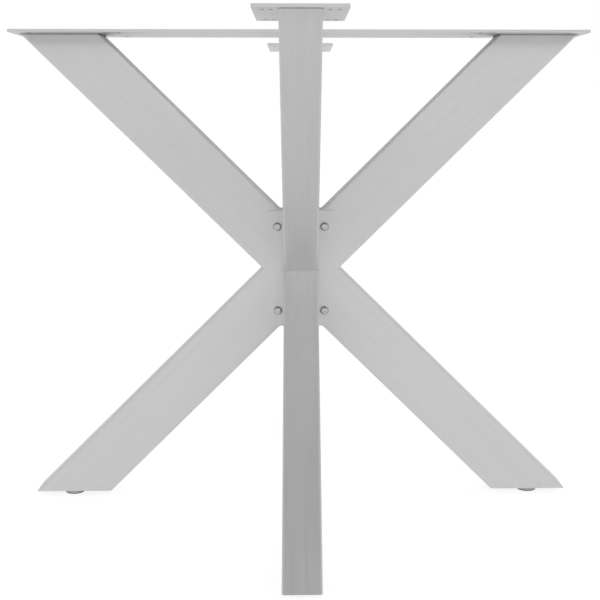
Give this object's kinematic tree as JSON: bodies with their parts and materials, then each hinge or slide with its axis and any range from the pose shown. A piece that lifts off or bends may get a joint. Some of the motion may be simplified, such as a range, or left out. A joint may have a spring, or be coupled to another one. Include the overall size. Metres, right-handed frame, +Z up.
{
  "type": "spider table base",
  "caption": "Crossed box-tube table base with splayed arms and legs, flat top plates drilled for screws, a bolted hub and round levelling feet.",
  "frame": {"origin": "on the floor, under the hub's centre", "axes": "+Z up; the X frame and the long top plate lie along X; the bolted half frames lie along Y, with -Y towards the picture's camera"},
  "size_m": [0.8296, 0.8296, 0.7],
  "materials": {
    "brushed_steel": "satin brushed stainless steel, grain along each tube",
    "screw_steel": "plain bright machine screws, studs and nuts",
    "foot_grey": "moulded grey plastic",
    "foot_rubber": "dark non-slip sole"
  },
  "bodies": {
    "root": {"cross_through_tube": "brushed_steel", "cross_upper_tube": "brushed_steel", "cross_lower_tube": "brushed_steel", "long_top_plate": "brushed_steel", "front_arm_tube": "brushed_steel", "front_leg_tube": "brushed_steel", "front_top_plate": "brushed_steel", "front_flange": "brushed_steel", "front_flange_screws": "screw_steel", "front_rivet_nuts": "screw_steel", "rear_arm_tube": "brushed_steel", "rear_leg_tube": "brushed_steel", "rear_top_plate": "brushed_steel", "rear_flange": "brushed_steel", "rear_flange_screws": "screw_steel", "rear_rivet_nuts": "screw_steel", "right_foot_end_plate": "brushed_steel", "right_foot_weld_nut": "screw_steel", "right_foot_stud": "screw_steel", "right_foot_base": "foot_grey", "right_foot_sole": "foot_rubber", "rear_foot_end_plate": "brushed_steel", "rear_foot_weld_nut": "screw_steel", "rear_foot_stud": "screw_steel", "rear_foot_base": "foot_grey", "rear_foot_sole": "foot_rubber", "left_foot_end_plate": "brushed_steel", "left_foot_weld_nut": "screw_steel", "left_foot_stud": "screw_steel", "left_foot_base": "foot_grey", "left_foot_sole": "foot_rubber", "front_foot_end_plate": "brushed_steel", "front_foot_weld_nut": "screw_steel", "front_foot_stud": "screw_steel", "front_foot_base": "foot_grey", "front_foot_sole": "foot_rubber"}
  },
  "joints": []
}
